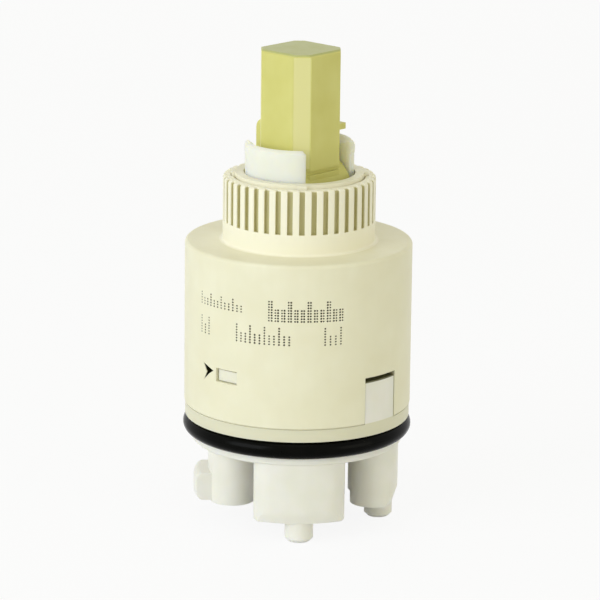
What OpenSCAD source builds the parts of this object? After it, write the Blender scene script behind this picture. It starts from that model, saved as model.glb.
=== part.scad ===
// Single-lever mixer cartridge: a shell clipped onto a base, with a tilting and turning lever
// that slides a ceramic disc over a fixed one.
// Millimetres. +Z points up the lever and the origin lies on the axis at the tips of the locating pins.
// The two sides of the YZ plane mirror each other, but for the hooks on the cheeks and the side lug.

/* [Housing shell] */
// Outer diameter of the shell
shell_d = 40; // [39.5:0.5:46]
// Length of the shell from its open end to the shoulder
shell_len = 29.3; // [28.9:0.2:33.5]
// Thickness of the shell's side wall
shell_wall = 2; // [1.7:0.1:2.2]
// Thickness of the end wall under the shoulder
end_wall = 2; // [1.6:0.1:2.6]
// Radius of the shoulder's outer edge
shoulder_r = 0.7; // [0.3:0.1:1.4]
// Width of the open notches that the base's fingers stand in
notch_w = 7.6; // [6:0.2:9]
// Height of the notches from the shell's open end
notch_h = 8.4; // [7.2:0.1:9.6]
// Width of the latch windows
window_w = 4.6; // [3.6:0.2:6]
// Height of the latch windows
window_h = 2.4; // [2:0.1:3]
// Height of the windows' lower edge above the shell's open end
window_rise = 7.1; // [6.2:0.1:8.2]
// Angle of the windows from the X axis, towards the front notch
window_angle = 4.5; // [0:0.5:8]
// Angle of the index arrows from the X axis, away from the front notch
arrow_angle = 8; // [6.5:0.5:14]
// Height of the index arrows
arrow_h = 3; // [2:0.2:4]
// Depth of the index arrows
arrow_depth = 1.2; // [0.5:0.1:1.4]
// How far the stop rib reaches in from the shell's wall
rib_reach = 2.4; // [2:0.1:2.8]
// Height of the stop rib below the end wall
rib_h = 3; // [2.4:0.1:3.4]

/* [Splined collar] */
// Outer diameter of the collar
collar_d = 26.8; // [26.4:0.2:29]
// Thickness of the collar's wall
collar_wall = 1.95; // [1.75:0.05:2.1]
// Height of the collar above the shoulder
collar_h = 11.5; // [11:0.1:12.5]
// Number of grooves round the collar
spline_count = 40; // [24:1:44]
// Width of one groove
spline_w = 0.95; // [0.6:0.05:1.1]
// Depth of one groove
spline_depth = 0.75; // [0.4:0.05:0.9]
// Length of the grooves down from the rim
spline_len = 7.8; // [5:0.1:9.5]
// Width of the four key slots inside the rim
limit_key_w = 2; // [1.4:0.1:3]
// Depth of the key slots
limit_key_depth = 0.6; // [0.4:0.05:0.8]

/* [Base moulding] */
// Diameter of the two locating pins
locating_pin_d = 5; // [4:0.1:6]
// Length of the locating pins below the legs
locating_pin_len = 3.7; // [2.5:0.1:5]
// Distance of the locating pins from the axis
locating_pin_reach = 14.7; // [14.2:0.1:15]
// Length of the legs below the plate
leg_len = 10.9; // [9.5:0.1:13]
// Inner radius of the two front legs
front_leg_in = 10; // [9.8:0.1:10.6]
// Outer radius of the two front legs
front_leg_out = 18.1; // [17.8:0.1:18.5]
// Angle between the centres of a front leg's round ends
front_leg_arc = 32.5; // [26:0.5:34]
// Taper on the outer side of the front legs' feet
foot_taper = 0.8; // [0.4:0.1:0.8]
// Height of that taper
foot_taper_h = 2.5; // [1.5:0.1:4]
// Inner radius of the two rear legs
rear_leg_in = 7.9; // [7.7:0.1:8.6]
// Outer radius of the two rear legs
rear_leg_out = 15.7; // [14.6:0.1:16]
// Angle between the centres of a rear leg's round ends
rear_leg_arc = 28; // [20:1:29]
// Radius that the rear legs' lugs reach
lug_reach = 18.3; // [17:0.1:18.6]
// Width of a rear leg's lug
lug_w = 8.4; // [5:0.2:9]
// Height of a rear leg's lug above the foot of the leg
lug_h = 5.2; // [3:0.2:8]
// Rounding of the lugs' outer edges
lug_round = 1.2; // [0.5:0.1:1.4]
// Diameter of the plate below the perimeter ring
plate_d = 37.2; // [37:0.1:38]
// Thickness of the plate below the perimeter ring
plate_t = 1.3; // [0.9:0.1:2]
// Thickness of the flange that the shell stands on
flange_t = 2.2; // [1.7:0.1:2.6]
// Height of the disc seat above the flange
seat_h = 0.4; // [0.3:0.1:1]
// Height of the rim round the fixed disc, above the seat
disc_rim_h = 4; // [2.5:0.1:4.8]
// Thickness of the clip tongues inside the shell
tongue_t = 1.2; // [1:0.05:1.3]
// How much wider a clip tongue is than its window, to each side
tongue_margin = 0.8; // [0.4:0.1:1.2]
// How far the clips' noses stay below the shell's surface
nose_inset = 0.6; // [0.3:0.1:1]
// Gap that shows above a finger in its notch
finger_slit = 0.7; // [0.4:0.1:1.2]

/* [Water ports] */
// Bore of the two inlets
inlet_bore = 5.4; // [4.6:0.1:5.8]
// Distance between the two inlets
inlet_pitch = 8.6; // [8.4:0.1:9]
// Distance of the inlets from the axis, towards the front
inlet_offset = 2.6; // [2.2:0.1:2.8]
// Outer diameter of the inlet tubes
inlet_tube_d = 7.8; // [7.6:0.1:8]
// Bore of the outlet
outlet_bore = 6.4; // [5.6:0.1:6.6]
// Distance of the outlet from the axis, towards the rear
outlet_offset = 5.2; // [5:0.1:5.4]
// How much narrower the fixed disc's ports are than the base's
port_step = 0.6; // [0.5:0.1:0.8]
// How far the port seals' bore stands back from the edges of the ports
port_seal_back = 0.25; // [0.2:0.05:0.3]
// Radial width of the port seals' section
port_seal_w = 1; // [0.8:0.05:1.05]
// Height of the port seals
port_seal_h = 1.4; // [1:0.1:2]
// Height of the inlet seals below the tubes
inlet_seal_h = 1.4; // [1:0.1:1.8]
// Length of the inlet seals' spigots inside the tubes
spigot_len = 3; // [2:0.1:4]
// Radial thickness of the inlet seals' spigots
spigot_t = 0.55; // [0.5:0.05:0.6]
// How far the inlet seals stand out below the legs
seal_proud = 0.4; // [0.2:0.1:0.8]

/* [Perimeter ring] */
// Thickness of the perimeter ring's section
perimeter_section = 3.3; // [2.6:0.1:3.4]
// How far the perimeter ring stands proud of the shell
perimeter_proud = 0.2; // [0.1:0.05:0.5]

/* [Ceramic discs] */
// Diameter of the fixed disc
fixed_disc_d = 30; // [29:0.2:31]
// Thickness of the fixed disc
fixed_disc_t = 5.5; // [5:0.1:6]
// Diameter of the moving disc
moving_disc_d = 26; // [25.6:0.1:26.4]
// Thickness of the moving disc
moving_disc_t = 6; // [5.2:0.1:6.4]
// Width of the mixing cavity through the moving disc
cavity_w = 12.6; // [10:0.2:13]
// Front edge of the mixing cavity, from the axis
cavity_front = -2.3; // [-3:0.1:-1.8]
// Rear edge of the mixing cavity, from the axis
cavity_rear = 8.2; // [7.6:0.1:8.6]
// Width of the drive notches in the moving disc
drive_notch_w = 6; // [4:0.2:8]
// Depth of the drive notches
drive_notch_depth = 1; // [0.8:0.05:1.1]
// Width and depth of the keyways in the fixed disc
keyway = 3.6; // [2:0.2:5]
// Depth of the keyways
keyway_depth = 1.1; // [0.6:0.1:1.6]

/* [Disc driver] */
// Diameter of the driver's plate
driver_d = 28; // [27.6:0.1:28.4]
// Width of the driver across its flats
driver_flats = 24; // [23:0.1:24.6]
// Thickness of the driver's plate
driver_plate_t = 5; // [4.2:0.1:5.2]
// Diameter of the driver's socket boss
boss_d = 13; // [11:0.2:15]
// Thickness of the ribs between the boss and the driver's corners
driver_rib_t = 2; // [1.2:0.1:3]
// Height of those ribs above the plate
driver_rib_h = 1.4; // [0.8:0.1:2]
// How far the ribs and the drive lugs stay inside the driver's edge
driver_inset = 0.4; // [0.3:0.1:0.8]
// Length of the drive lugs below the plate
drive_lug_len = 3.2; // [2:0.1:3.4]
// Centre of the mixing chamber, towards the rear
chamber_offset = 2.4; // [2.2:0.1:2.6]
// Radius of the mixing chamber in the driver
chamber_r = 7; // [6.4:0.1:7.2]
// Depth of the mixing chamber
chamber_depth = 2.4; // [1.8:0.1:2.8]
// Width of the land between the mixing chamber and its ring
chamber_land = 0.8; // [0.6:0.1:0.9]
// Width of the ledge that the screen lies on
screen_ledge = 0.8; // [0.5:0.1:1.2]
// Thickness of the chamber ring's section
chamber_ring_section = 1.6; // [1.2:0.1:1.7]
// Thickness of the screen
screen_t = 0.6; // [0.4:0.1:0.8]
// Depth of the screen in the chamber
screen_inset = 0.3; // [0.2:0.1:0.6]
// Diameter of the holes in the screen
screen_hole_d = 1; // [0.6:0.1:1.2]
// Pitch of the holes in the screen
screen_pitch = 1.7; // [1.5:0.1:2.2]

/* [Lever carrier] */
// Thickness of the carrier's flange
carrier_flange_t = 2.4; // [2:0.1:2.8]
// Thickness of the bearing ring above the flange
bearing_t = 0.8; // [0.5:0.1:1]
// Number of grease pockets in the bearing ring
bearing_pockets = 8; // [4:1:12]
// Diameter of the grease pockets
bearing_pocket_d = 1.6; // [1:0.1:1.8]
// Height of the cheeks' lower edge above the driver's lower face
cheek_rise = 1.2; // [0.8:0.1:2]
// Diameter of the turret above the collar
turret_d = 19.3; // [18.9:0.1:19.7]
// Height of the turret above the collar's rim
turret_h = 6.2; // [5.6:0.1:7]
// Depth of the dish in the turret's top
dish_depth = 2.4; // [1.2:0.1:2.6]
// Height of the hooks, one at an end of each cheek
hook_h = 2.6; // [2:0.1:3]
// Height of the hooks at their tips
hook_tip_h = 1.2; // [0.8:0.1:1.6]
// How far the hooks reach over the cuts below them
hook_reach = 1.2; // [0.8:0.1:1.6]
// Depth of the journal's top below the collar's rim
journal_inset = 4.4; // [4.2:0.1:5]
// Thickness of the brake ring's section
brake_section = 1.6; // [1.2:0.1:2]
// Height of the brake ring's centre above the shoulder
brake_rise = 3.4; // [2:0.1:4.5]
// Thickness of the guide plate under the carrier
guide_plate_t = 0.6; // [0.4:0.1:0.8]
// Length of the guide plate
guide_plate_len = 24; // [18:0.5:26]
// Height of the limit ring
limit_ring_h = 4.5; // [4.2:0.1:5]
// Height of the limit ring's lower face above the journal's top
limit_ring_rise = 0.5; // [0.4:0.1:0.7]
// Height of the pocket in the limit ring
limit_pocket_h = 1.5; // [1.2:0.1:1.8]
// Turning range to each side of the middle, in degrees
turn_limit = 50; // [30:1:52]
// Width of the stop rib in the shell, in degrees
stop_rib_angle = 16; // [10:1:20]
// Width of the stop lug on the carrier, in degrees
stop_lug_angle = 12; // [8:1:16]
// Spare angle at each end of the turning range, in degrees
turn_margin = 1; // [0.5:0.5:2]

/* [Lever] */
// Width of the square lever
lever_w = 12; // [11:0.1:12.4]
// Chamfer along the lever's corners
lever_chamfer = 2.3; // [1:0.1:3]
// Height of the lever above the turret
lever_rise = 16.3; // [12:0.1:20]
// Chamfer round the lever's top
lever_top_chamfer = 0.5; // [0.2:0.1:1]
// Height of the pivot above the journal's top
pivot_rise = 0.6; // [0.2:0.1:0.9]
// Radius of the lever's pivot disc
pivot_disc_r = 7.3; // [7:0.1:7.6]
// Height above the pivot of the grooves across the lever's foot
foot_groove_rise = 5.1; // [4.8:0.1:5.6]
// Height of those grooves
foot_groove_h = 0.7; // [0.4:0.1:1]
// Depth of those grooves
foot_groove_depth = 0.6; // [0.3:0.1:0.8]
// Diameter of the lever pin
lever_pin_d = 3; // [2.4:0.1:3.6]
// Diameter of the lever's arm
arm_d = 4.6; // [3.8:0.1:4.8]
// Diameter of the ball at the arm's end
ball_d = 6.4; // [5.6:0.1:6.8]
// Depth of the ball's centre below the top of the driver's boss
ball_inset = 2.6; // [2.4:0.1:3]
// Tilting range to each side of the middle, in degrees
tilt_limit = 12; // [6:1:12]
// Width of the shoulder on the lever's rear
shoulder_w = 6; // [3:0.2:7]
// How far the shoulder stands out, which is also the rounding of its top
shoulder_proud = 1.7; // [0.8:0.1:2]
// Height of the shoulder's top above the turret
shoulder_rise = 3.3; // [2.4:0.1:4]
// Height of the shoulder
shoulder_h = 6; // [4:0.1:6.2]
// Width of the lug on the lever's right side, over the cheek
side_lug_w = 6; // [3:0.2:6.4]
// How far the side lug stands out
side_lug_proud = 2.6; // [1.5:0.1:2.8]
// Height of the side lug's lower face above the turret
side_lug_rise = 1.2; // [1.2:0.1:2]
// Thickness of the side lug
side_lug_h = 1.1; // [0.8:0.1:1.6]

/* [Clearances] */
// Clearance of parts that are put together by hand
fit_gap = 0.15; // [0.1:0.01:0.2]
// Radial clearance of running fits
running_gap = 0.08; // [0.05:0.01:0.1]
// Clearance of a ring in its groove
ring_gap = 0.03; // [0.02:0.01:0.05]
// Grease film between sliding faces
film = 0.02; // [0.01:0.01:0.03]
// Free space between parts that pass each other
free_gap = 0.3; // [0.2:0.05:0.4]

/* [Hidden] */

$fn = 96;
// Overshoot of cutting shapes
cut = 1;
// Small chamfer on turned and moulded edges
edge = 0.3;
// Directions of the legs from the X axis
front_legs = [225, 315];
rear_legs = [45, 135];

// Radii of the shell
shell_or = shell_d / 2;
bore_r = shell_or - shell_wall;
collar_or = collar_d / 2;
collar_ir = collar_or - collar_wall;
rib_ir = bore_r - rib_reach;

// Heights, from the tips of the locating pins upwards
z_foot = locating_pin_len;
z_plate = z_foot + leg_len;
z_groove = z_plate + plate_t;
z_flange = z_groove + perimeter_section + 2 * ring_gap;
z_shell = z_flange + flange_t;
z_seat = z_shell + seat_h;
z_disc = z_seat + fixed_disc_t;
z_moving = z_disc + film;
z_driver = z_moving + moving_disc_t + film;
z_shoulder = z_shell + shell_len;
z_ceiling = z_shoulder - end_wall;
z_rim = z_shoulder + collar_h;
z_carrier = z_ceiling - bearing_t - 2 * film;
z_guide = z_carrier - carrier_flange_t;
z_boss = z_guide - guide_plate_t - free_gap;
z_journal = z_rim - journal_inset;
z_pivot = z_journal + pivot_rise;
z_turret = z_rim + turret_h;
z_lever = z_turret + lever_rise;
z_brake = z_shoulder + brake_rise;
z_limit = z_journal + limit_ring_rise;

// Base moulding
core_r = bore_r - fit_gap;
tongue_ir = core_r - tongue_t;
disc_pocket_r = fixed_disc_d / 2 + fit_gap;
perimeter_mean_r = shell_or + perimeter_proud - perimeter_section / 2;
groove_r = perimeter_mean_r - perimeter_section / 2 - ring_gap;
z_tube = z_foot - seal_proud + inlet_seal_h;

// Carrier, driver and lever
carrier_r = bore_r - free_gap;
journal_r = collar_ir - running_gap;
turret_r = turret_d / 2;
brake_mean_r = collar_ir - ring_gap - brake_section / 2;
slot_w = lever_w + 2 * free_gap;
cheek_half = sqrt(pow(turret_r, 2) - pow(slot_w / 2, 2));
channel_w = driver_flats + 2 * fit_gap;
ball_r = ball_d / 2;
z_ball = z_boss - ball_inset;
arm_slot_r = arm_d / 2 + 2 * free_gap;
arm_swing = (z_pivot - z_guide + guide_plate_t) * tan(tilt_limit);
arm_slot_half = arm_swing + arm_d / 2 / cos(tilt_limit) + free_gap - arm_slot_r;
chamber_ring_r = chamber_r + chamber_land + chamber_ring_section / 2;

// Colours of the materials
ivory = [0.92, 0.9, 0.79];
natural = [0.93, 0.93, 0.9];
rubber = [0.07, 0.07, 0.07];
ceramic = [0.95, 0.94, 0.9];
olive = [0.82, 0.8, 0.48];
steel = [0.72, 0.73, 0.75];
pale_pink = [0.88, 0.76, 0.72];

// Point at an angle on a circle
function on_circle(c, r, a) = c + r * [cos(a), sin(a)];
// Points of a round corner, with both ends
function arc(c, r, a0, a1, n = 6) = [for (i = [0:n]) on_circle(c, r, a0 + (a1 - a0) * i / n)];
// The same arc without its two ends
function inner_arc(c, r, a0, a1, n) = [for (i = [1:n - 1]) on_circle(c, r, a0 + (a1 - a0) * i / n)];

module mirrored_in_x() {
    children();
    mirror([1, 0, 0]) children();
}

module front_and_rear() {
    children();
    mirror([0, 1, 0]) children();
}

// A ring of square section that stands on z = 0
module flat_ring(inner, outer, height) {
    difference() {
        cylinder(h = height, r = outer);
        translate([0, 0, -cut]) cylinder(h = height + 2 * cut, r = inner);
    }
}

// A ring of round section, centred on z = 0
module round_ring(mean_r, section) {
    rotate_extrude() translate([mean_r, 0]) circle(d = section, $fn = 32);
}

// A wedge about the +Y direction, used to cut and keep sectors
module wedge(angle, height) {
    side = 3 * shell_d * [sin(angle / 2), cos(angle / 2)];
    tip = [0, 5 * shell_d];
    linear_extrude(height) polygon([[0, 0], side, tip, [-side[0], side[1]]]);
}

// A bar along +Y, from the axis outwards, centred on X
module bar(width, height) {
    translate([-width / 2, 0, 0]) cube([width, shell_d, height]);
}

// A curved leg outline about the +X direction, with round ends
module leg_outline(inner, outer, angle) {
    h = angle / 2;
    end_r = (outer - inner) / 2;
    left = on_circle([0, 0], inner + end_r, h);
    right = on_circle([0, 0], inner + end_r, -h);
    polygon(concat(
        arc([0, 0], outer, -h, h, 12),
        inner_arc(left, end_r, h, h + 180, 20),
        arc([0, 0], inner, h, -h, 8),
        inner_arc(right, end_r, 180 - h, 360 - h, 20)
    ));
}

// An oblong outline along Y
module oblong(radius, half) {
    for (side = [-1, 1]) translate([0, side * half]) circle(r = radius, $fn = 48);
    square([2 * radius, 2 * half], center = true);
}

module shell_profile() {
    collar_fillet = 0.4;
    polygon(concat(
        [[bore_r, z_shell], [shell_or - edge, z_shell], [shell_or, z_shell + edge]],
        arc([shell_or - shoulder_r, z_shoulder - shoulder_r], shoulder_r, 0, 90),
        arc([collar_or + collar_fillet, z_shoulder + collar_fillet], collar_fillet, 270, 180),
        [[collar_or, z_rim - edge], [collar_or - edge, z_rim], [collar_ir + edge, z_rim],
         [collar_ir, z_rim - edge], [collar_ir, z_ceiling], [bore_r, z_ceiling]]
    ));
}

module spline_grooves() {
    for (i = [0:spline_count - 1])
        rotate(360 * i / spline_count)
            translate([collar_or - spline_depth, -spline_w / 2, z_rim - spline_len])
                cube([spline_depth + cut, spline_w, spline_len + cut]);
}

// Four key slots for the limit ring, open at the rim
module limit_keys(width, reach, z, height) {
    for (i = [0:3])
        rotate(45 + 90 * i)
            translate([collar_ir - 2 * cut, -width / 2, z]) cube([reach + 2 * cut, width, height]);
}

// Arrow head with a short tail, as an outline in the plane of the wall
module arrow_outline() {
    h = arrow_h / 2;
    polygon([[-0.9 * h, h], [0.9 * h, 0.35 * h], [0.2 * h, -0.1 * h], [-0.8 * h, -h], [-0.25 * h, 0]]);
}

module index_arrow() {
    rotate(-arrow_angle)
        translate([-shell_or + arrow_depth, 0, z_shell + window_rise + window_h / 2])
            rotate([90, 0, -90]) linear_extrude(arrow_depth + cut) arrow_outline();
}

module latch_window() {
    rotate(window_angle)
        translate([-shell_or - cut, -window_w / 2, z_shell + window_rise])
            cube([shell_wall + 3 * cut, window_w, window_h]);
}

// Stop rib under the end wall, at the rear
module stop_rib() {
    z = z_ceiling - rib_h;
    intersection() {
        translate([0, 0, z]) flat_ring(rib_ir, bore_r + shell_wall / 2, rib_h + end_wall / 2);
        translate([0, 0, z - cut]) wedge(stop_rib_angle, rib_h + end_wall + cut);
    }
}

module housing_shell() {
    color(ivory) {
        difference() {
            union() {
                rotate_extrude() shell_profile();
                stop_rib();
            }
            spline_grooves();
            limit_keys(limit_key_w, limit_key_depth, z_limit, journal_inset + cut);
            front_and_rear() translate([0, 0, z_shell - cut]) bar(notch_w, notch_h + cut);
            mirrored_in_x() {
                latch_window();
                index_arrow();
            }
        }
    }
}

module base_profile() {
    polygon([
        [0, z_plate], [plate_d / 2 - edge, z_plate], [plate_d / 2, z_plate + edge],
        [plate_d / 2, z_groove], [groove_r, z_groove], [groove_r, z_flange],
        [shell_or - fit_gap, z_flange], [shell_or - fit_gap, z_shell], [core_r, z_shell],
        [core_r, z_seat + disc_rim_h], [disc_pocket_r, z_seat + disc_rim_h],
        [disc_pocket_r, z_seat], [0, z_seat]
    ]);
}

// A turned locating pin with a chamfered tip, standing on z = 0
module locating_pin(height) {
    tip = 0.6;
    r = locating_pin_d / 2;
    rotate_extrude($fn = 48) polygon([[0, 0], [r - tip, 0], [r, tip], [r, height], [0, height]]);
}

module legs() {
    height = leg_len + plate_t / 2;
    translate([0, 0, z_foot]) {
        for (a = front_legs)
            rotate(a) front_leg(height);
        for (a = rear_legs) {
            rotate(a) linear_extrude(height) leg_outline(rear_leg_in, rear_leg_out, rear_leg_arc);
            rotate(a - 90) lug();
        }
    }
    for (a = front_legs)
        rotate(a) translate([locating_pin_reach, 0, 0]) locating_pin(locating_pin_len + leg_len / 2);
}

// Front leg about the +X direction, with a foot that tapers on the outside
module front_leg(height) {
    wide_r = front_leg_out + foot_taper;
    intersection() {
        linear_extrude(height) leg_outline(front_leg_in, front_leg_out, front_leg_arc);
        rotate_extrude()
            polygon([
                [0, 0], [front_leg_out - foot_taper, 0], [wide_r, 2 * foot_taper_h],
                [wide_r, height + cut], [0, height + cut]
            ]);
    }
}

// Radial lug on the lower part of a rear leg, with rounded outer edges
module lug() {
    root_r = (rear_leg_in + rear_leg_out) / 2;
    round_r = lug_reach - lug_round;
    intersection() {
        rotate_extrude()
            polygon(concat(
                [[root_r, edge]],
                arc([round_r, edge + lug_round], lug_round, 270, 360),
                arc([round_r, lug_h - lug_round], lug_round, 0, 90),
                [[root_r, lug_h]]
            ));
        bar(lug_w, lug_h + cut);
    }
}

// Fingers that stand in the shell's notches
module fingers() {
    height = flange_t + notch_h - finger_slit;
    front_and_rear()
        translate([0, 0, z_flange])
            intersection() {
                flat_ring(tongue_ir, shell_or - fit_gap, height);
                bar(notch_w - 2 * fit_gap, shell_len);
            }
}

// Clip tongues with a nose in each window
module clips() {
    tongue_w = window_w + 2 * tongue_margin;
    tongue_h = window_rise + window_h + free_gap;
    nose_ir = tongue_ir + tongue_t / 2;
    nose_or = shell_or - nose_inset;
    mirrored_in_x()
        rotate(90 + window_angle)
            translate([0, 0, z_shell]) {
                intersection() {
                    flat_ring(tongue_ir, core_r - fit_gap, tongue_h);
                    bar(tongue_w, shell_len);
                }
                intersection() {
                    translate([0, 0, window_rise + fit_gap])
                        flat_ring(nose_ir, nose_or, window_h - 3 * fit_gap);
                    bar(window_w - 2 * fit_gap, shell_len);
                }
            }
}

// Ribs that hold the fixed disc from turning
module disc_keys() {
    mirrored_in_x()
        translate([disc_pocket_r - keyway_depth, -keyway / 2 + fit_gap, z_seat - cut / 2])
            cube([keyway_depth + cut, keyway - 2 * fit_gap, disc_rim_h - edge + cut / 2]);
}

// A round bar or hole along the axis, with its lower end at z
module round_bar(z, height, d) {
    translate([0, 0, z]) cylinder(h = height, d = d, $fn = 64);
}

// Places of the two inlets; side is +1 for hot and -1 for cold
module at_inlet(side) {
    translate([side * inlet_pitch / 2, -inlet_offset, 0]) children();
}

module at_outlet() {
    translate([0, outlet_offset, 0]) children();
}

module water_ways() {
    pocket_margin = 2 * (port_seal_back + port_seal_w + ring_gap);
    spigot_margin = 2 * (spigot_t + ring_gap);
    z_pocket = z_seat - port_seal_h;
    for (side = [-1, 1])
        at_inlet(side) {
            round_bar(z_tube - cut, z_seat - z_tube + 2 * cut, inlet_bore);
            round_bar(z_tube - cut, spigot_len + cut + ring_gap, inlet_bore + spigot_margin);
            round_bar(z_pocket, port_seal_h + cut, inlet_bore + pocket_margin);
        }
    at_outlet() {
        round_bar(z_plate - cut, z_seat - z_plate + 2 * cut, outlet_bore);
        round_bar(z_pocket, port_seal_h + cut, outlet_bore + pocket_margin);
    }
}

module base_body() {
    color(natural)
        difference() {
            union() {
                rotate_extrude() base_profile();
                legs();
                fingers();
                clips();
                disc_keys();
                for (side = [-1, 1])
                    at_inlet(side) round_bar(z_tube, z_groove - z_tube, inlet_tube_d);
            }
            water_ways();
        }
}

module perimeter_oring() {
    color(rubber)
        translate([0, 0, z_groove + ring_gap + perimeter_section / 2])
            round_ring(perimeter_mean_r, perimeter_section);
}

// A ground disc with chamfered edges
module disc_blank(r, z, height) {
    top = z + height;
    rotate_extrude()
        polygon([[0, z], [r - edge, z], [r, z + edge], [r, top - edge], [r - edge, top], [0, top]]);
}

module fixed_disc() {
    r = fixed_disc_d / 2;
    through = fixed_disc_t + 2 * cut;
    color(ceramic)
        difference() {
            disc_blank(r, z_seat, fixed_disc_t);
            mirrored_in_x()
                translate([r - keyway_depth, -keyway / 2, z_seat - cut])
                    cube([keyway_depth + cut, keyway, through]);
            for (side = [-1, 1])
                at_inlet(side) round_bar(z_seat - cut, through, inlet_bore - port_step);
            at_outlet() round_bar(z_seat - cut, through, outlet_bore - port_step);
        }
}

module moving_disc() {
    r = moving_disc_d / 2;
    color(ceramic)
        difference() {
            disc_blank(r, z_moving, moving_disc_t);
            translate([0, 0, z_moving - cut])
                linear_extrude(moving_disc_t + 2 * cut)
                    intersection() {
                        translate([0, chamber_offset]) circle(r = chamber_r);
                        translate([-cavity_w / 2, cavity_front])
                            square([cavity_w, cavity_rear - cavity_front]);
                    }
            front_and_rear()
                translate([-drive_notch_w / 2, r - drive_notch_depth, z_moving - cut])
                    cube([drive_notch_w, drive_notch_depth + cut, moving_disc_t + 2 * cut]);
        }
}

// Seal between the base and the fixed disc, of square section with a bevelled foot
module port_seal(port_d) {
    r = port_d / 2 + port_seal_back;
    outer = r + port_seal_w;
    z = z_seat - port_seal_h;
    color(rubber)
        rotate_extrude($fn = 64)
            polygon([[r, z], [outer - edge, z], [outer, z + edge], [outer, z_seat], [r, z_seat]]);
}

module hot_port_seal() {
    at_inlet(1) port_seal(inlet_bore);
}

module cold_port_seal() {
    at_inlet(-1) port_seal(inlet_bore);
}

module outlet_port_seal() {
    at_outlet() port_seal(outlet_bore);
}

// Seal with a spigot in the tube and a face below it
module inlet_seal() {
    r = inlet_bore / 2;
    spigot_r = r + spigot_t;
    face_r = inlet_tube_d / 2;
    z = z_foot - seal_proud;
    color(rubber)
        rotate_extrude($fn = 64)
            polygon([
                [r, z], [face_r - edge, z], [face_r, z + edge], [face_r, z_tube], [spigot_r, z_tube],
                [spigot_r, z_tube + spigot_len], [r, z_tube + spigot_len]
            ]);
}

module hot_inlet_seal() {
    at_inlet(1) inlet_seal();
}

module cold_inlet_seal() {
    at_inlet(-1) inlet_seal();
}

// Slide ring with grease pockets between the carrier and the end wall
module carrier_bearing_ring() {
    inner = collar_ir + free_gap;
    outer = rib_ir - free_gap;
    color(steel)
        difference() {
            translate([0, 0, z_carrier + film]) flat_ring(inner, outer, bearing_t);
            for (i = [0:bearing_pockets - 1])
                rotate(360 * (i + 0.5) / bearing_pockets)
                    translate([(inner + outer) / 2, 0, z_carrier - cut])
                        cylinder(h = bearing_t + 2 * cut, d = bearing_pocket_d, $fn = 24);
        }
}

module hot_limit_ring() {
    pocket_angle = stop_lug_angle + 2 * (turn_limit + turn_margin);
    color(pale_pink)
        union() {
            difference() {
                translate([0, 0, z_limit])
                    flat_ring(turret_r + fit_gap, collar_ir - fit_gap, limit_ring_h);
                translate([0, 0, z_limit - cut]) wedge(pocket_angle, limit_pocket_h + cut);
            }
            intersection() {
                limit_keys(limit_key_w - 2 * fit_gap, limit_key_depth - fit_gap, z_limit, limit_ring_h);
                translate([0, 0, z_limit]) flat_ring(collar_ir - 2 * fit_gap, collar_or, limit_ring_h);
            }
        }
}

module carrier_profile() {
    groove_ir = brake_mean_r - brake_section / 2 - ring_gap;
    half = brake_section / 2 + ring_gap;
    polygon([
        [0, z_guide], [carrier_r - edge, z_guide], [carrier_r, z_guide + edge], [carrier_r, z_carrier],
        [journal_r, z_carrier], [journal_r, z_brake - half], [groove_ir, z_brake - half],
        [groove_ir, z_brake + half], [journal_r, z_brake + half], [journal_r, z_journal - edge],
        [journal_r - edge, z_journal], [turret_r, z_journal], [turret_r, z_turret - 2 * edge],
        [turret_r - 2 * edge, z_turret], [slot_w / 2 - cut, z_turret - dish_depth],
        [0, z_turret - dish_depth]
    ]);
}

// Cheeks below the flange that guide the driver
module guide_cheeks() {
    z = z_driver + cheek_rise;
    height = z_guide - z;
    difference() {
        translate([0, 0, z]) cylinder(h = height, r = carrier_r);
        translate([-channel_w / 2, -shell_d, z - cut]) cube([channel_w, 2 * shell_d, height + 2 * cut]);
    }
}

module arm_slot(z, height) {
    translate([0, 0, z]) linear_extrude(height) oblong(arm_slot_r, arm_slot_half);
}

module carrier_stop_lug() {
    height = limit_ring_rise + limit_pocket_h - free_gap + cut;
    translate([0, 0, z_journal - cut])
        intersection() {
            flat_ring(turret_r - cut / 2, journal_r - edge, height);
            wedge(stop_lug_angle, height);
        }
}

// Notch in the carrier's flange that the stop rib stands in
module stop_notch() {
    height = z_carrier - z_guide + 2 * cut;
    difference() {
        translate([0, 0, z_guide - cut]) wedge(stop_rib_angle + 2 * (turn_limit + turn_margin), height);
        translate([0, 0, z_guide - 2 * cut]) cylinder(h = height + 2 * cut, r = rib_ir - free_gap);
        translate([0, 0, z_guide - 2 * cut]) cylinder(h = 2 * cut, r = shell_d);
    }
}

// Cuts that leave a hook at the right cheek's front end and at the left cheek's rear end
module hook_cuts() {
    root = hook_reach - cheek_half;
    end = -cheek_half - cut;
    tip_slope = (hook_h - hook_tip_h) / hook_reach;
    z_root = z_turret - hook_h;
    z_end = z_root + tip_slope * (root - end);
    for (a = [0, 180])
        rotate(a)
            translate([slot_w / 2 - cut, 0, 0])
                rotate([90, 0, 90]) linear_extrude(turret_r)
                    polygon([[root, z_limit], [root, z_root], [end, z_end], [end, z_limit]]);
}

module lever_carrier() {
    pin_hole_r = (lever_pin_d + film) / 2;
    color(natural)
        difference() {
            union() {
                rotate_extrude() carrier_profile();
                guide_cheeks();
                carrier_stop_lug();
            }
            translate([-slot_w / 2, -turret_r - cut / 2, z_journal])
                cube([slot_w, 2 * turret_r + cut, z_turret - z_journal + cut]);
            translate([0, 0, z_pivot]) rotate([0, 90, 0]) {
                cylinder(h = slot_w, r = pivot_disc_r + free_gap, center = true);
                cylinder(h = turret_d + cut, r = pin_hole_r, center = true, $fn = 48);
            }
            arm_slot(z_guide - cut, z_pivot - z_guide);
            stop_notch();
            hook_cuts();
        }
}

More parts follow.
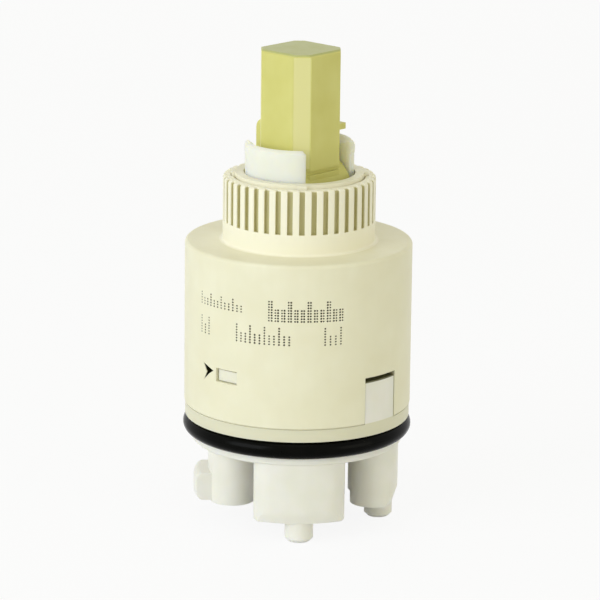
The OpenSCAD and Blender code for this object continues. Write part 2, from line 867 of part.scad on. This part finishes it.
module lever_pin() {
    pin_half = turret_r - free_gap;
    color(steel)
        translate([0, 0, z_pivot]) rotate([0, 90, 0])
            cylinder(h = 2 * pin_half, d = lever_pin_d, center = true, $fn = 48);
}

module carrier_brake_ring() {
    color(rubber) translate([0, 0, z_brake]) round_ring(brake_mean_r, brake_section);
}

module guide_plate() {
    z = z_guide - guide_plate_t;
    color(steel)
        difference() {
            intersection() {
                translate([0, 0, z]) cylinder(h = guide_plate_t, r = rib_ir - free_gap);
                translate([-channel_w / 2 + fit_gap, -guide_plate_len / 2, z - cut])
                    cube([channel_w - 2 * fit_gap, guide_plate_len, guide_plate_t + 2 * cut]);
            }
            arm_slot(z - cut, guide_plate_t + 2 * cut);
        }
}

// Chamfered square bar, drawn as the common part of two side outlines and the plan
module lever_bar() {
    half = lever_w / 2;
    c = lever_chamfer;
    t = lever_top_chamfer;
    side_view = [
        [-half, z_pivot], [half, z_pivot], [half, z_lever - t], [half - t, z_lever],
        [t - half, z_lever], [-half, z_lever - t]
    ];
    intersection() {
        linear_extrude(z_lever + cut)
            polygon([[-half, c - half], [c - half, -half], [half - c, -half], [half, c - half],
                     [half, half - c], [half - c, half], [c - half, half], [-half, half - c]]);
        rotate([90, 0, 0]) linear_extrude(2 * lever_w, center = true) polygon(side_view);
        rotate([90, 0, 90]) linear_extrude(2 * lever_w, center = true) polygon(side_view);
    }
}

module rear_shoulder() {
    top = z_turret + shoulder_rise;
    half = lever_w / 2;
    rotate([90, 0, 90])
        linear_extrude(shoulder_w, center = true)
            polygon(concat(
                [[0, top - shoulder_h], [half + shoulder_proud, top - shoulder_h]],
                arc([half, top - shoulder_proud], shoulder_proud, 0, 90),
                [[0, top]]
            ));
}

module side_lug() {
    translate([0, -side_lug_w / 2, z_turret + side_lug_rise])
        cube([lever_w / 2 + side_lug_proud, side_lug_w, side_lug_h]);
}

// Grooves across the front and rear of the lever's foot
module foot_grooves() {
    front_and_rear()
        translate([-lever_w / 2 - cut, lever_w / 2 - foot_groove_depth, z_pivot + foot_groove_rise])
            cube([lever_w + 2 * cut, foot_groove_depth + cut, foot_groove_h]);
}

module lever_stem() {
    hole_r = lever_pin_d / 2 + running_gap;
    color(olive)
        difference() {
            union() {
                lever_bar();
                rear_shoulder();
                side_lug();
                translate([0, 0, z_pivot]) rotate([0, 90, 0])
                    cylinder(h = lever_w, r = pivot_disc_r, center = true);
                translate([0, 0, z_ball]) cylinder(h = z_pivot - z_ball, d = arm_d, $fn = 48);
                translate([0, 0, z_ball]) sphere(d = ball_d, $fn = 64);
            }
            foot_grooves();
            translate([0, 0, z_pivot]) rotate([0, 90, 0])
                cylinder(h = lever_w + 2 * cut, r = hole_r, center = true, $fn = 48);
        }
}

module driver_ribs() {
    for (a = [45:90:315])
        rotate(a)
            translate([0, -driver_rib_t / 2, z_driver + driver_plate_t - cut])
                cube([driver_d / 2 - driver_inset, driver_rib_t, driver_rib_h + cut]);
}

module disc_driver() {
    seal_half = chamber_ring_section / 2 + ring_gap;
    lug_r = moving_disc_d / 2 - drive_notch_depth + fit_gap;
    lug_t = driver_d / 2 - driver_inset - lug_r;
    color(natural)
        difference() {
            union() {
                intersection() {
                    translate([0, 0, z_driver]) cylinder(h = driver_plate_t, d = driver_d);
                    translate([-driver_flats / 2, -driver_d, z_driver - cut])
                        cube([driver_flats, 2 * driver_d, driver_plate_t + 2 * cut]);
                }
                translate([0, 0, z_driver]) cylinder(h = z_boss - z_driver, d = boss_d);
                driver_ribs();
                front_and_rear()
                    translate([-drive_notch_w / 2 + fit_gap, lug_r, z_driver - drive_lug_len])
                        cube([drive_notch_w - 2 * fit_gap, lug_t, drive_lug_len + cut]);
            }
            round_bar(z_ball - ball_r - free_gap, z_boss, ball_d + 2 * fit_gap);
            translate([0, chamber_offset, z_driver - cut]) {
                cylinder(h = chamber_depth + cut, r = chamber_r - screen_ledge);
                cylinder(h = screen_inset + screen_t + cut, r = chamber_r);
                flat_ring(
                    chamber_ring_r - seal_half, chamber_ring_r + seal_half,
                    chamber_ring_section + film + cut
                );
            }
        }
}

module chamber_seal_ring() {
    color(rubber)
        translate([0, chamber_offset, z_driver + chamber_ring_section / 2])
            round_ring(chamber_ring_r, chamber_ring_section);
}

module silencer_screen() {
    screen_r = chamber_r - ring_gap;
    rows = floor(screen_r / screen_pitch);
    color(steel)
        translate([0, chamber_offset, z_driver + screen_inset])
            difference() {
                cylinder(h = screen_t, r = screen_r);
                for (i = [-rows:rows], j = [-rows:rows])
                    if (norm([i, j]) * screen_pitch + screen_hole_d < screen_r)
                        translate([i * screen_pitch, j * screen_pitch, -cut])
                            cylinder(h = screen_t + 2 * cut, d = screen_hole_d, $fn = 16);
            }
}

housing_shell();
base_body();
perimeter_oring();
fixed_disc();
moving_disc();
hot_port_seal();
cold_port_seal();
outlet_port_seal();
hot_inlet_seal();
cold_inlet_seal();
carrier_bearing_ring();
hot_limit_ring();
lever_carrier();
lever_pin();
carrier_brake_ring();
guide_plate();
lever_stem();
disc_driver();
chamber_seal_ring();
silencer_screen();
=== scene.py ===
import math

import bmesh
import bpy
from mathutils import Matrix, Vector


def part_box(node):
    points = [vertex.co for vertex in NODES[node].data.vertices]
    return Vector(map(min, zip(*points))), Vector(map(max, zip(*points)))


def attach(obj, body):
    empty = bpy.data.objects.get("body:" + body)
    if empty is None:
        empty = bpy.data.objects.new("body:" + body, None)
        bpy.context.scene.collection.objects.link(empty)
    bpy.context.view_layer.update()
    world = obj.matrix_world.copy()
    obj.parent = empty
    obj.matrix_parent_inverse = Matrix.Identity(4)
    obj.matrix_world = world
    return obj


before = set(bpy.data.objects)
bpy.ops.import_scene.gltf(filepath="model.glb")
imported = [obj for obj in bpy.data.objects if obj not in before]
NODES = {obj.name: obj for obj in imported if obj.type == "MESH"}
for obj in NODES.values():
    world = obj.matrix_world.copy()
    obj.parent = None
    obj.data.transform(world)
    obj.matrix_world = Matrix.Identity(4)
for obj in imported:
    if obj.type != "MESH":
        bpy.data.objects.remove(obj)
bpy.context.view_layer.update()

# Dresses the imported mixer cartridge: moulded plastics, rubber, ceramic and steel, softened edges
# and rows of printed ticks, on a pale floor in soft light. The frame is in metres.
MM = 0.001

# Camera: the photograph's view, in degrees and metres, and the sensor's width in millimetres
VIEW_AZIMUTH = -47.26
VIEW_ELEVATION = 14.58
VIEW_ROLL = 0.65
VIEW_DISTANCE = 0.6832
AIM_HEIGHT = 39.58 * MM
FRAME_WIDTH = 105.83 * MM
SENSOR_WIDTH = 36.0
SIDE_SHIFT = 0.0032

# Sizes of the mouldings that a change of tone follows, in millimetres: the splined collar, the
# index arrows, the latch windows with the clips' noses, the fingers and the depth of the wall that
# they stand in, and the lever, whose chamfers start at its foot above the collar's rim
COLLAR_RADIUS = 13.4
COLLAR_HEIGHT = 11.5
COLLAR_FOOT_ROUND = 0.6
COLLAR_RIM_EDGE = 0.3
GROOVE_DEPTH = 0.75
GROOVE_LENGTH = 7.8
ARROW_FROM_MIDDLE = 1.2
ARROW_TO_MIDDLE = 4.4
ARROW_DEPTH = 1.2
ARROW_OVER_WINDOW = 1.0
ARROW_UNDER_WINDOW = 0.6
WINDOW_RISE = 7.1
WINDOW_HEIGHT = 2.4
NOSE_DEPTH = 1.8
FINGER_HALF_WIDTH = 4.0
FINGER_RISE = 7.7
SLIT_HALF_HEIGHT = 0.25
WALL_BAND = 4.0
LEVER_FLAT_HALF = 3.7
LEVER_FOOT_RISE = 2.54
LEVER_END_EDGE = 0.45
LEVER_END_SKIN = 0.26

# How a change of tone meets its place, in millimetres: how far it fades out to each side, stays
# inside or past an edge, a rounded edge, a surface and a seam, and reaches past a surface that
# ends it anyway
TONE_FADE = 0.08
TONE_MARGIN = 0.2
ROUND_MARGIN = 0.12
SKIN_MARGIN = 0.14
SEAM_MARGIN = 0.15
TONE_BEYOND = 1.0

# Moulded plastic: how far red, green and blue light spread inside it for each depth, how much
# longer its flow streaks are along the draw, and how far its roughness changes
LIGHT_SPREAD = (1.0, 0.85, 0.5)
DRAW_STRETCH = (1.0, 1.0, 6.0)
SHEEN_CHANGE = 0.06

# Softened edges: widths in millimetres for the pieces that show, the angles in degrees from which
# an edge is rounded, and from which it is shaded as an edge, and how close corners are joined
EDGE_WIDTHS = {
    "housing_shell": 0.1,
    "base_body": 0.12,
    "lever_carrier": 0.12,
    "hot_limit_ring": 0.08,
    "lever_stem": 0.15,
}
ROUND_ANGLE = 28
SHARP_ANGLE = 40
WELD_DISTANCE = 0.001

# Rows of printed ticks on the shell: first and last angle from -X towards -Y in degrees, height
# above the shell's open end in millimetres, dots in a tall tick and in a short one, ticks, one
# tall in every so many, and columns of dots in each tick
TICK_ROWS = [
    (-13.5, 13.5, 20.44, 5, 3, 12, 3, 1),
    (28.4, 64.0, 19.44, 8, 5, 12, 3, 2),
    (-13.5, -7.5, 15.24, 7, 4, 3, 2, 1),
    (11.0, 38.6, 15.24, 7, 4, 12, 3, 1),
    (56.4, 64.6, 15.24, 7, 4, 4, 3, 1),
]

# Dots of ink, in millimetres: their pitch up a column, their size, and where a dot's middle, rim
# and foot lie from the shell's surface. Columns of one tick lie COLUMN_ANGLE degrees apart.
DOT_PITCH = 0.48
DOT_SIZE = 0.44
DOT_MIDDLE = 0.015
DOT_RIM = -0.01
DOT_FOOT = -0.03
DOT_SIDES = 10
COLUMN_ANGLE = 1.3

# Background: the floor's half width in metres, its colour, how much of it is plain white where it
# is seen, and the colour of the world's light
FLOOR_HALF = 4.0
FLOOR_COLOUR = (0.86, 0.87, 0.9, 1.0)
FLOOR_WHITE_SHARE = 0.89
WHITE = (1.0, 1.0, 1.0)
WORLD_LIGHT = (0.53, 0.52, 0.42)


# Shader building blocks


def new_material(name, **constants):
    """A Principled material; constants are set on the shader's own sockets, with _ for a space."""
    material = bpy.data.materials.new(name)
    material.use_nodes = True
    shader = material.node_tree.nodes["Principled BSDF"]
    for socket, value in constants.items():
        shader.inputs[socket.replace("_", " ")].default_value = value
    return material, material.node_tree, shader


def millimetre_coords(tree, stretch=(1.0, 1.0, 1.0)):
    """Object coordinates in millimetres, optionally stretched along an axis."""
    coords = tree.nodes.new("ShaderNodeTexCoord")
    mapping = tree.nodes.new("ShaderNodeMapping")
    mapping.inputs["Scale"].default_value = [1.0 / (MM * s) for s in stretch]
    tree.links.new(coords.outputs["Object"], mapping.inputs["Vector"])
    return mapping.outputs["Vector"]


def noise(tree, coords, size, detail=3.0):
    """Noise whose features measure about size millimetres."""
    node = tree.nodes.new("ShaderNodeTexNoise")
    node.inputs["Scale"].default_value = 1.0 / size
    node.inputs["Detail"].default_value = detail
    node.inputs["Roughness"].default_value = 0.55
    tree.links.new(coords, node.inputs["Vector"])
    return node.outputs["Fac"]


def remap(tree, value, low, high, from_low=0.3, from_high=0.7):
    """low to high while value goes from from_low to from_high, where most of the noise lies."""
    node = tree.nodes.new("ShaderNodeMapRange")
    node.inputs["From Min"].default_value = from_low
    node.inputs["From Max"].default_value = from_high
    node.inputs["To Min"].default_value = low
    node.inputs["To Max"].default_value = high
    tree.links.new(value, node.inputs["Value"])
    return node.outputs["Result"]


def calculate(tree, operation, *values):
    """A maths node; the values are numbers or sockets."""
    node = tree.nodes.new("ShaderNodeMath")
    node.operation = operation
    for socket, value in zip(node.inputs, values):
        if isinstance(value, (int, float)):
            socket.default_value = value
        else:
            tree.links.new(value, socket)
    return node.outputs["Value"]


def place_mask(tree, **limits):
    """1 between the limits and 0 past them; each limit is (low, high) in millimetres.

    They are y and z, radius from the axis, side from the YZ plane and ahead from the XZ plane.
    """
    split = tree.nodes.new("ShaderNodeSeparateXYZ")
    tree.links.new(millimetre_coords(tree), split.inputs["Vector"])
    x, y, z = (split.outputs[name] for name in "XYZ")
    x_squared, y_squared = (calculate(tree, "MULTIPLY", value, value) for value in (x, y))
    values = {
        "y": y,
        "z": z,
        "radius": calculate(tree, "SQRT", calculate(tree, "ADD", x_squared, y_squared)),
        "side": calculate(tree, "ABSOLUTE", x),
        "ahead": calculate(tree, "ABSOLUTE", y),
    }
    mask = 1.0
    for name, (low, high) in limits.items():
        above = remap(tree, values[name], 0.0, 1.0, low - TONE_FADE, low + TONE_FADE)
        below = remap(tree, values[name], 1.0, 0.0, high - TONE_FADE, high + TONE_FADE)
        mask = calculate(tree, "MULTIPLY", mask, calculate(tree, "MULTIPLY", above, below))
    return mask


def mix_colours(tree, factor, first, second):
    """first where factor is 0 and second where it is 1; each is a colour or a socket."""
    node = tree.nodes.new("ShaderNodeMix")
    node.data_type = "RGBA"
    inputs = {socket.identifier: socket for socket in node.inputs}
    outputs = {socket.identifier: socket for socket in node.outputs}
    tree.links.new(factor, inputs["Factor_Float"])
    for socket, value in ((inputs["A_Color"], first), (inputs["B_Color"], second)):
        if isinstance(value, tuple):
            socket.default_value = (*value, 1.0)
        else:
            tree.links.new(value, socket)
    return outputs["Result_Color"]


def bump(tree, height, depth, under=None):
    """Relief of depth millimetres, on top of another bump if one is given."""
    node = tree.nodes.new("ShaderNodeBump")
    node.inputs["Strength"].default_value = 1.0
    node.inputs["Distance"].default_value = depth * MM
    tree.links.new(height, node.inputs["Height"])
    if under is not None:
        tree.links.new(under, node.inputs["Normal"])
    return node.outputs["Normal"]


def srgb(red, green, blue):
    """Linear colour from 0 to 255 values."""
    channels = (c / 255.0 for c in (red, green, blue))
    return tuple(c / 12.92 if c <= 0.04045 else ((c + 0.055) / 1.055) ** 2.4 for c in channels)


# Materials


def moulded_plastic(
    name, colour, shade, roughness, subsurface=0.1, depth=1.6, specular=0.22, marks=()
):
    """Satin moulding: slow changes of tone, faint flow streaks along the draw, and a fine grain.

    depth is how far light gets in, in millimetres. marks are (limits, colour): places where the
    tone changes to colour.
    """
    material, tree, shader = new_material(
        name,
        Subsurface_Weight=subsurface,
        Subsurface_Scale=depth * MM,
        Subsurface_Radius=LIGHT_SPREAD,
        Specular_IOR_Level=specular,
    )
    even = millimetre_coords(tree)
    drawn = millimetre_coords(tree, DRAW_STRETCH)
    clouds = remap(tree, noise(tree, even, size=7.0, detail=2.0), 0.0, 1.0)
    streaks = remap(tree, noise(tree, drawn, size=1.6), 0.0, 0.35)
    tone = mix_colours(tree, clouds, colour, shade)
    tone = mix_colours(tree, streaks, tone, shade)
    for limits, mark_colour in marks:
        tone = mix_colours(tree, place_mask(tree, **limits), tone, mark_colour)
    patches = noise(tree, drawn, size=2.5, detail=4.0)
    sheen = remap(tree, patches, roughness - SHEEN_CHANGE, roughness + SHEEN_CHANGE)
    waves = bump(tree, noise(tree, even, size=4.0, detail=2.0), depth=0.02)
    grain = bump(tree, noise(tree, even, size=0.22), depth=0.004, under=waves)
    tree.links.new(tone, shader.inputs["Base Color"])
    tree.links.new(sheen, shader.inputs["Roughness"])
    tree.links.new(grain, shader.inputs["Normal"])
    return material


def greased_rubber():
    """Black rubber with a smeared film of grease."""
    material, tree, shader = new_material("greased_rubber", Specular_IOR_Level=0.045)
    even = millimetre_coords(tree)
    smear = noise(tree, even, size=3.0, detail=4.0)
    tone = mix_colours(tree, remap(tree, smear, 0.0, 1.0), srgb(3, 4, 2), srgb(8, 8, 6))
    grain = bump(tree, noise(tree, even, size=0.18), depth=0.006)
    tree.links.new(tone, shader.inputs["Base Color"])
    tree.links.new(remap(tree, smear, 0.1, 0.28), shader.inputs["Roughness"])
    tree.links.new(grain, shader.inputs["Normal"])
    return material


def lapped_ceramic():
    """Dense white ceramic with fine specks, lapped to an uneven shine."""
    material, tree, shader = new_material("lapped_ceramic", Specular_IOR_Level=0.6)
    even = millimetre_coords(tree)
    speck = remap(tree, noise(tree, even, size=0.12, detail=2.0), 0.0, 1.0, 0.55, 0.75)
    tone = mix_colours(tree, speck, srgb(240, 237, 226), srgb(226, 221, 206))
    sheen = remap(tree, noise(tree, even, size=2.0), 0.1, 0.24)
    grain = bump(tree, noise(tree, even, size=0.1, detail=2.0), depth=0.001)
    tree.links.new(tone, shader.inputs["Base Color"])
    tree.links.new(sheen, shader.inputs["Roughness"])
    tree.links.new(grain, shader.inputs["Normal"])
    return material


def drawn_steel():
    """Stainless steel with fine drawing lines."""
    material, tree, shader = new_material("drawn_steel", Metallic=1.0)
    even = millimetre_coords(tree)
    lines = noise(tree, millimetre_coords(tree, (1.0, 12.0, 1.0)), size=0.15)
    stain = remap(tree, noise(tree, even, size=3.0), 0.0, 1.0)
    tone = mix_colours(tree, stain, srgb(196, 197, 199), srgb(172, 173, 176))
    tree.links.new(tone, shader.inputs["Base Color"])
    tree.links.new(remap(tree, lines, 0.24, 0.4), shader.inputs["Roughness"])
    tree.links.new(bump(tree, lines, depth=0.002), shader.inputs["Normal"])
    return material


def jet_ink():
    """Thin dark ink with uneven cover."""
    material, tree, shader = new_material("jet_ink", Roughness=0.6, Specular_IOR_Level=0.3)
    even = millimetre_coords(tree)
    cover = remap(tree, noise(tree, even, size=0.5), 0.0, 1.0)
    tone = mix_colours(tree, cover, srgb(44, 42, 30), srgb(88, 85, 64))
    grain = bump(tree, noise(tree, even, size=0.1, detail=2.0), depth=0.004)
    tree.links.new(tone, shader.inputs["Base Color"])
    tree.links.new(grain, shader.inputs["Normal"])
    return material


def box_in_mm(name):
    """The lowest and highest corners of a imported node."""
    low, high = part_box(name)
    return low / MM, high / MM


def ivory_shell():
    """Painted light and shade: paler on the collar for light bounced off the shoulder, painted
    shade in the bottom of each groove, and near-black painted shade in the arrow recesses.
    """
    low, high = box_in_mm("housing_shell")
    wall, rim = high.x, high.z
    window = low.z + WINDOW_RISE
    # Painted light: the collar is paler, for light bounced off the shoulder.
    collar = {
        "radius": (0.0, COLLAR_RADIUS + COLLAR_FOOT_ROUND),
        "z": (rim - COLLAR_HEIGHT - COLLAR_FOOT_ROUND, rim + TONE_BEYOND),
    }
    # Painted shade in the bottom of each spline groove.
    groove_shade = {
        "radius": (COLLAR_RADIUS - GROOVE_DEPTH - TONE_MARGIN, COLLAR_RADIUS - TONE_MARGIN),
        "z": (rim - GROOVE_LENGTH - TONE_MARGIN, rim - COLLAR_RIM_EDGE),
    }
    # Painted shade: the arrow recesses are near black, like a deep hole.
    arrows = {
        "radius": (wall - 1.5 * ARROW_DEPTH, wall - SKIN_MARGIN),
        "y": (ARROW_FROM_MIDDLE, ARROW_TO_MIDDLE),
        "z": (window - ARROW_UNDER_WINDOW, window + WINDOW_HEIGHT + ARROW_OVER_WINDOW),
    }
    marks = [
        (collar, srgb(248, 244, 225)),
        (groove_shade, srgb(206, 200, 154)),
        (arrows, srgb(34, 32, 12)),
    ]
    return moulded_plastic(
        "ivory_moulding", srgb(240, 237, 214), srgb(235, 231, 205), roughness=0.42, marks=marks
    )


def natural_base():
    """An ivory tint with painted shade on the band above the O-ring, warmer on the clips' noses,
    and painted shade in the slits above the fingers.
    """
    shell_low, shell_high = box_in_mm("housing_shell")
    ring_top = box_in_mm("perimeter_oring")[1].z
    wall, foot = shell_high.x, shell_low.z
    window = foot + WINDOW_RISE
    wall_band = (wall - WALL_BAND, wall + TONE_BEYOND)
    # The band above the O-ring: its own ivory tint, darkened by painted shade under the shell's
    # edge.
    flange_tint_and_shade = {"radius": wall_band, "z": (ring_top - 2.0 * SEAM_MARGIN, foot + SEAM_MARGIN)}
    # Painted shade on the tops of the fingers, in the slits under the shell.
    slit_shade = {
        "side": (-TONE_BEYOND, FINGER_HALF_WIDTH),
        "radius": wall_band,
        "z": (foot + FINGER_RISE - SLIT_HALF_HEIGHT, foot + FINGER_RISE + SLIT_HALF_HEIGHT),
    }
    clip_noses = {
        "side": (wall - NOSE_DEPTH, wall),
        "z": (window - TONE_MARGIN, window + WINDOW_HEIGHT + TONE_MARGIN),
    }
    marks = [
        (flange_tint_and_shade, srgb(225, 222, 199)),
        (slit_shade, srgb(96, 94, 66)),
        (clip_noses, srgb(238, 236, 220)),
    ]
    return moulded_plastic(
        "natural_moulding", srgb(244, 242, 238), srgb(237, 236, 227), roughness=0.38,
        subsurface=0.3, marks=marks,
    )


def white_carrier():
    """Clear enough for light to pass through the cheeks."""
    return moulded_plastic(
        "white_moulding", srgb(241, 241, 235), srgb(234, 235, 225), roughness=0.38,
        subsurface=0.8, depth=3.5,
    )


def cream_ring():
    """The limit ring, close to the collar's own tone."""
    return moulded_plastic(
        "cream_moulding", srgb(242, 239, 222), srgb(238, 234, 214), roughness=0.42,
    )


def olive_lever():
    """Paler along its chamfers as a painted highlight, and greyer on its top face as painted shade.
    """
    top = box_in_mm("lever_stem")[1].z
    foot = box_in_mm("housing_shell")[1].z + LEVER_FOOT_RISE
    past_flat = (LEVER_FLAT_HALF + ROUND_MARGIN, 2.0 * LEVER_FLAT_HALF)
    # Painted highlight: the chamfers are paler.
    chamfers = {"side": past_flat, "ahead": past_flat, "z": (foot, top - LEVER_END_EDGE)}
    # Painted shade: the top face is darker and greyer.
    end = {"z": (top - LEVER_END_SKIN, top + TONE_BEYOND)}
    marks = [(chamfers, srgb(226, 222, 160)), (end, srgb(186, 189, 128))]
    return moulded_plastic(
        "olive_moulding", srgb(217, 214, 138), srgb(210, 206, 125), roughness=0.34,
        subsurface=0.16, specular=0.14, marks=marks,
    )


def dress_nodes():
    """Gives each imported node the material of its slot."""
    finishes = {
        "shell_plastic": ivory_shell(),
        "natural_plastic": natural_base(),
        "white_plastic": white_carrier(),
        "pink_plastic": cream_ring(),
        "olive_plastic": olive_lever(),
        "black_rubber": greased_rubber(),
        "ceramic": lapped_ceramic(),
        "steel": drawn_steel(),
    }
    for node in NODES.values():
        for slot in node.material_slots:
            slot.material = finishes[slot.material.name.split(".")[0]]


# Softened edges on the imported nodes


def smooth_by_angle(limit):
    """Node group that drops the stored normals and keeps only edges past the limit sharp."""
    group = bpy.data.node_groups.new("smooth_by_angle", "GeometryNodeTree")
    group.interface.new_socket("Geometry", in_out="INPUT", socket_type="NodeSocketGeometry")
    group.interface.new_socket("Geometry", in_out="OUTPUT", socket_type="NodeSocketGeometry")
    start, end = group.nodes.new("NodeGroupInput"), group.nodes.new("NodeGroupOutput")
    angle = group.nodes.new("GeometryNodeInputMeshEdgeAngle")
    past = group.nodes.new("FunctionNodeCompare")
    past.operation = "GREATER_THAN"
    past.inputs["B"].default_value = math.radians(limit)
    normals = group.nodes.new("GeometryNodeSetMeshNormal")
    normals.mode = "SHARPNESS"
    normals.inputs["Remove Custom"].default_value = True
    normals.inputs["Face Sharpness"].default_value = False
    group.links.new(angle.outputs["Unsigned Angle"], past.inputs["A"])
    group.links.new(start.outputs["Geometry"], normals.inputs["Mesh"])
    group.links.new(past.outputs["Result"], normals.inputs["Edge Sharpness"])
    group.links.new(normals.outputs["Mesh"], end.inputs["Geometry"])
    return group


def soften(node, width, smoothing):
    """Rounds the node's corners by width millimetres, as a mould does."""
    weld = node.modifiers.new("weld", "WELD")
    weld.merge_threshold = WELD_DISTANCE * MM
    bevel = node.modifiers.new("soft_edges", "BEVEL")
    bevel.width = width * MM
    bevel.segments = 2
    bevel.limit_method = "ANGLE"
    bevel.angle_limit = math.radians(ROUND_ANGLE)
    bevel.use_clamp_overlap = True
    smooth = node.modifiers.new("smooth", "NODES")
    smooth.node_group = smoothing
    weights = node.modifiers.new("weights", "WEIGHTED_NORMAL")
    weights.mode = "FACE_AREA_WITH_ANGLE"
    weights.keep_sharp = True


def soften_nodes():
    """Softens the edges of the pieces that show."""
    smoothing = smooth_by_angle(SHARP_ANGLE)
    for name, width in EDGE_WIDTHS.items():
        soften(NODES[name], width, smoothing)


# Printed ticks on the shell


def print_dot(mesh, radius, angle, height):
    """A low dome of ink at a radius and height in metres, angle degrees from -X towards -Y."""
    turn = math.radians(180 + angle)
    out = Vector((math.cos(turn), math.sin(turn), 0.0))
    side = Vector((-math.sin(turn), math.cos(turn), 0.0))
    up = Vector((0.0, 0.0, 1.0))
    centre = out * radius + up * height
    rim = []
    for i in range(DOT_SIDES):
        spoke = 2 * math.pi * i / DOT_SIDES
        step = (side * math.cos(spoke) + up * math.sin(spoke)) * DOT_SIZE / 2
        rim.append(mesh.verts.new(centre + (step + out * DOT_RIM) * MM))
    middle = mesh.verts.new(centre + out * DOT_MIDDLE * MM)
    foot = mesh.verts.new(centre + out * DOT_FOOT * MM)
    for start, end in zip(rim, rim[1:] + rim[:1]):
        mesh.faces.new((start, end, middle))
        mesh.faces.new((end, start, foot))


def print_ticks():
    """Rows of plain ticks, set in dots on the shell's side."""
    low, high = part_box("housing_shell")
    mesh = bmesh.new()
    for start, end, base, tall, short, ticks, every, columns in TICK_ROWS:
        for i in range(ticks):
            tick_angle = start + (end - start) * i / (ticks - 1)
            dots = tall if i % every == 0 else short
            for column in range(columns):
                angle = tick_angle + column * COLUMN_ANGLE
                for dot in range(dots):
                    height = low.z + (base + dot * DOT_PITCH) * MM
                    print_dot(mesh, high.x, angle, height)
    data = bpy.data.meshes.new("printed_ticks")
    mesh.to_mesh(data)
    mesh.free()
    for face in data.polygons:
        face.use_smooth = True
    data.materials.append(jet_ink())
    piece = bpy.data.objects.new("printed_ticks", data)
    bpy.context.scene.collection.objects.link(piece)
    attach(piece, "housing")


# Floor, light and camera


def seen_rays(tree):
    """1 for rays that show the background: to the camera, in a reflection or through a piece."""
    path = tree.nodes.new("ShaderNodeLightPath")
    direct = calculate(
        tree, "MAXIMUM", path.outputs["Is Camera Ray"], path.outputs["Is Transmission Ray"]
    )
    return calculate(tree, "MAXIMUM", direct, path.outputs["Is Glossy Ray"])


def pale_floor():
    """A wide floor that reads as white, with the object's soft shadow on it."""
    data = bpy.data.meshes.new("floor")
    corners = [(x * FLOOR_HALF, y * FLOOR_HALF, 0) for x, y in ((-1, -1), (1, -1), (1, 1), (-1, 1))]
    data.from_pydata(corners, [], [(0, 1, 2, 3)])
    floor = bpy.data.objects.new("floor", data)
    bpy.context.scene.collection.objects.link(floor)
    material = bpy.data.materials.new("pale_floor")
    material.use_nodes = True
    tree = material.node_tree
    tree.nodes.clear()
    out = tree.nodes.new("ShaderNodeOutputMaterial")
    matt = tree.nodes.new("ShaderNodeBsdfDiffuse")
    matt.inputs["Color"].default_value = FLOOR_COLOUR
    white = tree.nodes.new("ShaderNodeEmission")
    white.inputs["Strength"].default_value = 1.0
    mix = tree.nodes.new("ShaderNodeMixShader")
    share = calculate(tree, "MULTIPLY", seen_rays(tree), FLOOR_WHITE_SHARE)
    tree.links.new(share, mix.inputs["Fac"])
    tree.links.new(matt.outputs["BSDF"], mix.inputs[1])
    tree.links.new(white.outputs["Emission"], mix.inputs[2])
    tree.links.new(mix.outputs["Shader"], out.inputs["Surface"])
    data.materials.append(material)


def plain_world():
    """White where it is seen, and dim and slightly warm as a light."""
    world = bpy.data.worlds.new("studio")
    bpy.context.scene.world = world
    world.use_nodes = True
    tree = world.node_tree
    colour = mix_colours(tree, seen_rays(tree), WORLD_LIGHT, WHITE)
    tree.links.new(colour, tree.nodes["Background"].inputs["Color"])


def direction(azimuth, elevation):
    """Unit vector away from the object; azimuth 0 is -Y and 90 is +X, in degrees."""
    a, e = math.radians(azimuth), math.radians(elevation)
    return Vector((math.sin(a) * math.cos(e), -math.cos(a) * math.cos(e), math.sin(e)))


def soft_lamp(name, azimuth, elevation, distance, size, watts, colour=WHITE):
    """A square soft box that faces the object, in degrees and metres."""
    away = direction(azimuth, elevation)
    data = bpy.data.lights.new(name, "AREA")
    data.shape = "SQUARE"
    data.size = size
    data.energy = watts
    data.color = colour
    lamp = bpy.data.objects.new(name, data)
    bpy.context.scene.collection.objects.link(lamp)
    lamp.location = Vector((0, 0, AIM_HEIGHT)) + away * distance
    lamp.rotation_euler = away.to_track_quat("Z", "Y").to_euler()
    return lamp


def studio_lights():
    """A cool key from the left, a little light from above, a warm fill and a soft one behind."""
    soft_lamp("key_light", -98.0, 18.0, distance=0.9, size=0.6, watts=4.1, colour=(0.9, 0.95, 1.0))
    soft_lamp("top_light", -60.0, 72.0, distance=0.9, size=0.5, watts=0.6)
    soft_lamp("fill_light", 14.0, 8.0, distance=1.1, size=0.7, watts=2.6, colour=(1.0, 0.98, 0.84))
    back = soft_lamp("back_light", 140.0, 12.0, distance=1.1, size=0.7, watts=1.8)
    back.visible_glossy = False


def photo_camera():
    """The camera at the photograph's angle, distance and slight roll."""
    away = direction(VIEW_AZIMUTH, VIEW_ELEVATION)
    level_right = direction(VIEW_AZIMUTH + 90.0, 0.0)
    level_up = away.cross(level_right)
    roll = math.radians(VIEW_ROLL)
    right = level_right * math.cos(roll) + level_up * math.sin(roll)
    up = level_up * math.cos(roll) - level_right * math.sin(roll)
    data = bpy.data.cameras.new("photo_camera")
    data.sensor_width = SENSOR_WIDTH
    data.lens = SENSOR_WIDTH * VIEW_DISTANCE / FRAME_WIDTH
    data.shift_x = SIDE_SHIFT
    data.clip_start = 0.01
    data.clip_end = 20.0
    camera = bpy.data.objects.new("photo_camera", data)
    bpy.context.scene.collection.objects.link(camera)
    place = Matrix((right, up, away)).transposed().to_4x4()
    place.translation = Vector((0, 0, AIM_HEIGHT)) + away * VIEW_DISTANCE
    camera.matrix_world = place
    bpy.context.scene.camera = camera


bpy.context.scene.view_settings.view_transform = "Standard"
photo_camera()
plain_world()
studio_lights()
pale_floor()
dress_nodes()
soften_nodes()
print_ticks()
